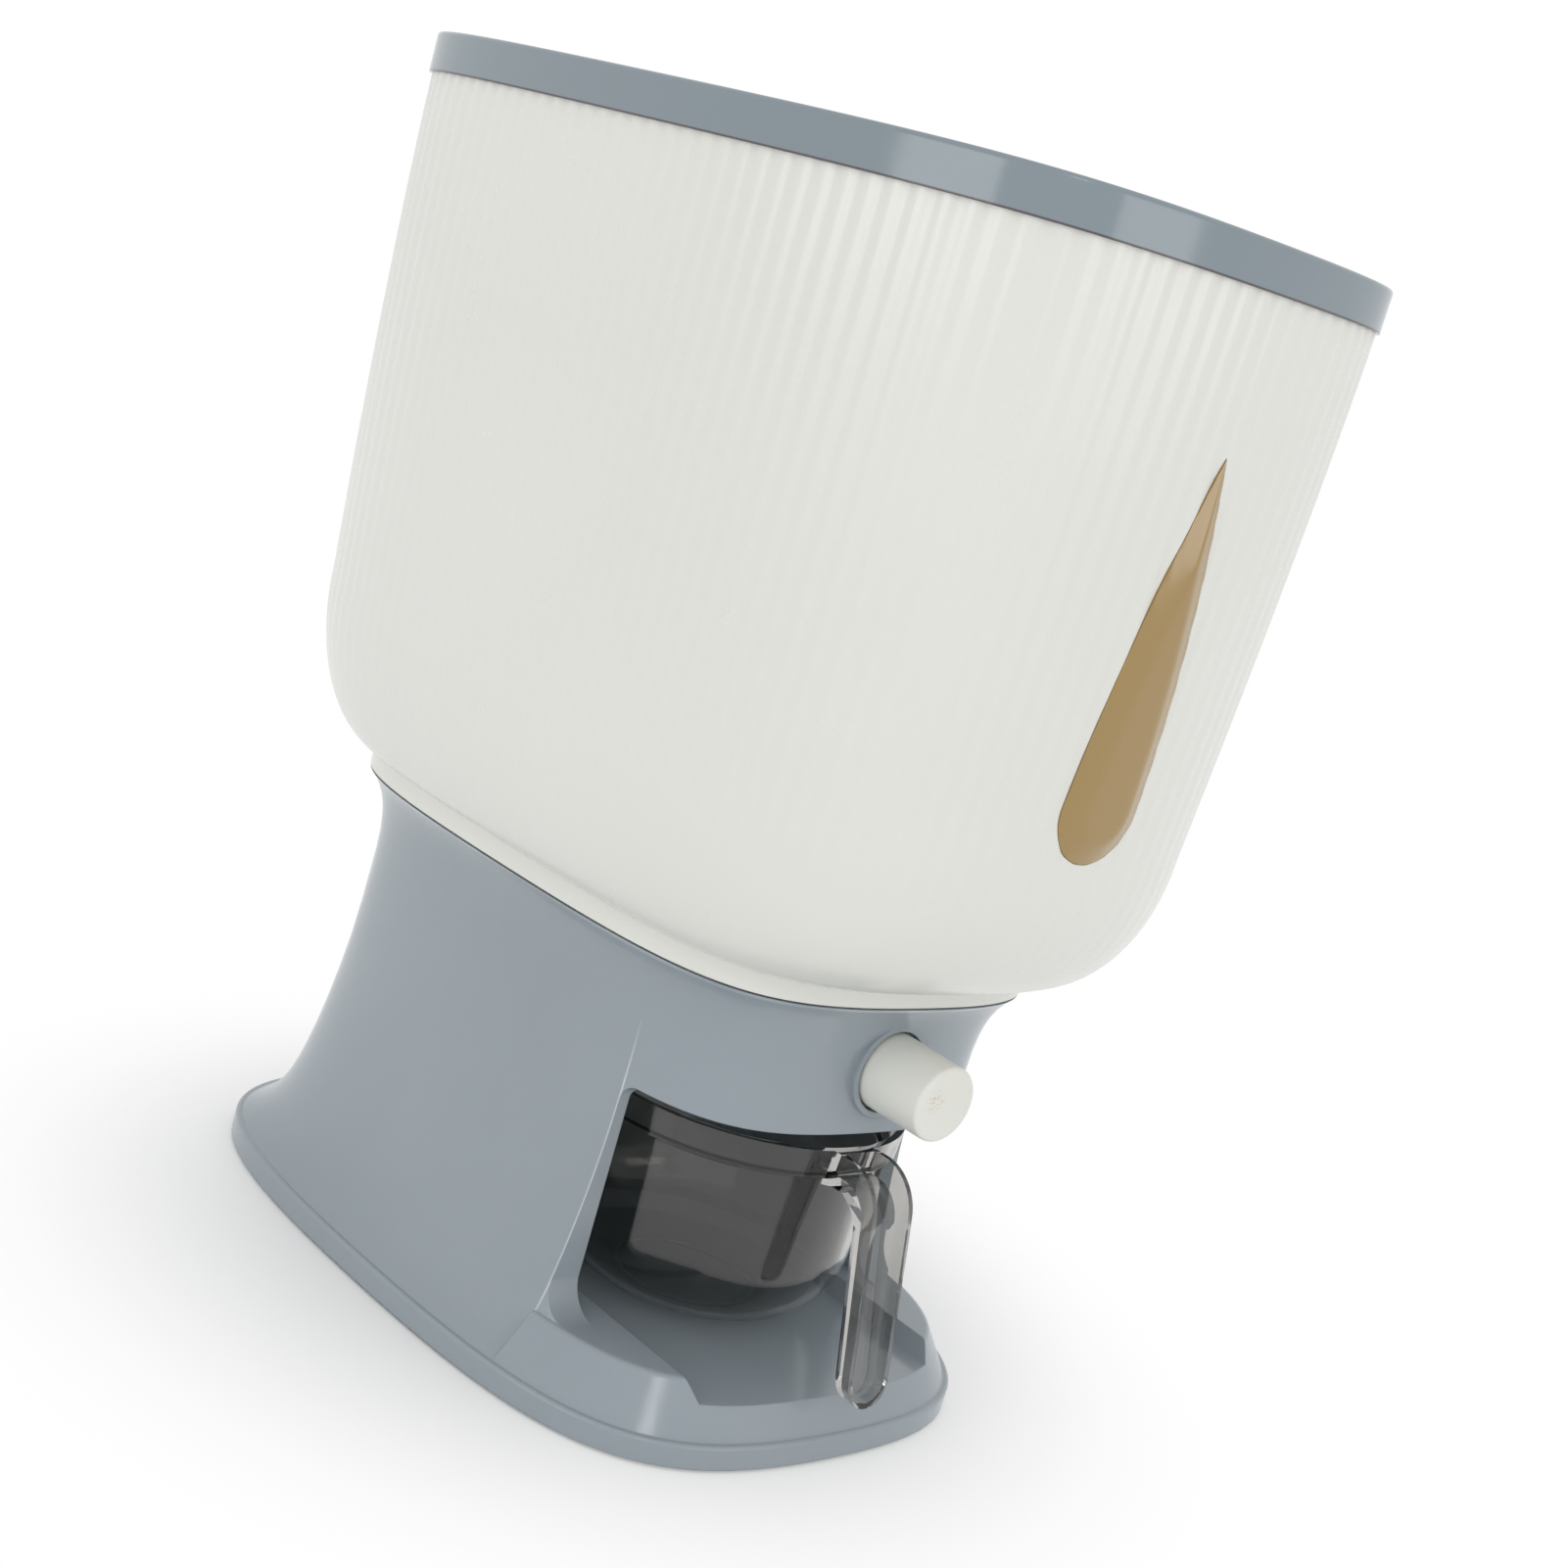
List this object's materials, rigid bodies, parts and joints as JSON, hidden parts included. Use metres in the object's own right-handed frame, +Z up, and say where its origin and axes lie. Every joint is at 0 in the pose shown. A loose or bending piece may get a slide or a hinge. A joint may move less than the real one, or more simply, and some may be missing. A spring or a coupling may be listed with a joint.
{
  "type": "rice dispenser",
  "caption": "Free-standing rice dispenser: fluted bucket with a lid and a teardrop window on a waisted base, push button over a clear measuring cup.",
  "frame": {"origin": "on the floor, under the middle of the lid", "axes": "+Z up, -Y out of the front with the window, the button and the cup, +X to the right seen from the front"},
  "size_m": [0.203, 0.3226, 0.3804],
  "materials": {
    "lid_plastic": "satin moulded, blue-grey",
    "base_plastic": "glossy moulded, blue-grey",
    "bucket_plastic": "satin moulded, warm white",
    "button_plastic": "satin moulded, white",
    "inner_plastic": "moulded, natural white",
    "window_plastic": "translucent tan moulding",
    "cup_plastic": "smoky clear moulding",
    "silicone": "soft, translucent white",
    "rubber": "matt, dark grey",
    "screw_steel": "zinc-plated"
  },
  "bodies": {
    "base": {"base": "base_plastic", "bucket": "bucket_plastic", "window": "window_plastic", "hopper": "bucket_plastic", "throat_seal": "rubber", "gate_housing": "inner_plastic", "outlet_chute": "inner_plastic", "button_guide": "inner_plastic", "return_spring": "screw_steel", "base_bottom": "base_plastic", "foot_1": "rubber", "foot_2": "rubber", "foot_3": "rubber", "foot_4": "rubber", "base_screws": "screw_steel", "housing_screws": "screw_steel", "bucket_screws": "screw_steel"},
    "lid": {"lid": "lid_plastic", "lid_seal": "silicone"},
    "cup": {"cup": "cup_plastic"},
    "button": {"button": "button_plastic", "button_stem": "inner_plastic", "stem_pin": "screw_steel", "gate": "inner_plastic"}
  },
  "joints": [
    {"name": "lid_lift", "type": "slide", "parent": "base", "child": "lid", "axis": [0, 0, 1], "range_m": [0, 0.06]},
    {"name": "cup_pull", "type": "slide", "parent": "base", "child": "cup", "axis": [0, -1, 0], "range_m": [0, 0.16]},
    {"name": "button_press", "type": "slide", "parent": "base", "child": "button", "axis": [0, 1, 0], "range_m": [0, 0.012], "stiffness_N_per_m": 400, "springref_m": -0.01, "deforming": ["return_spring"]}
  ]
}
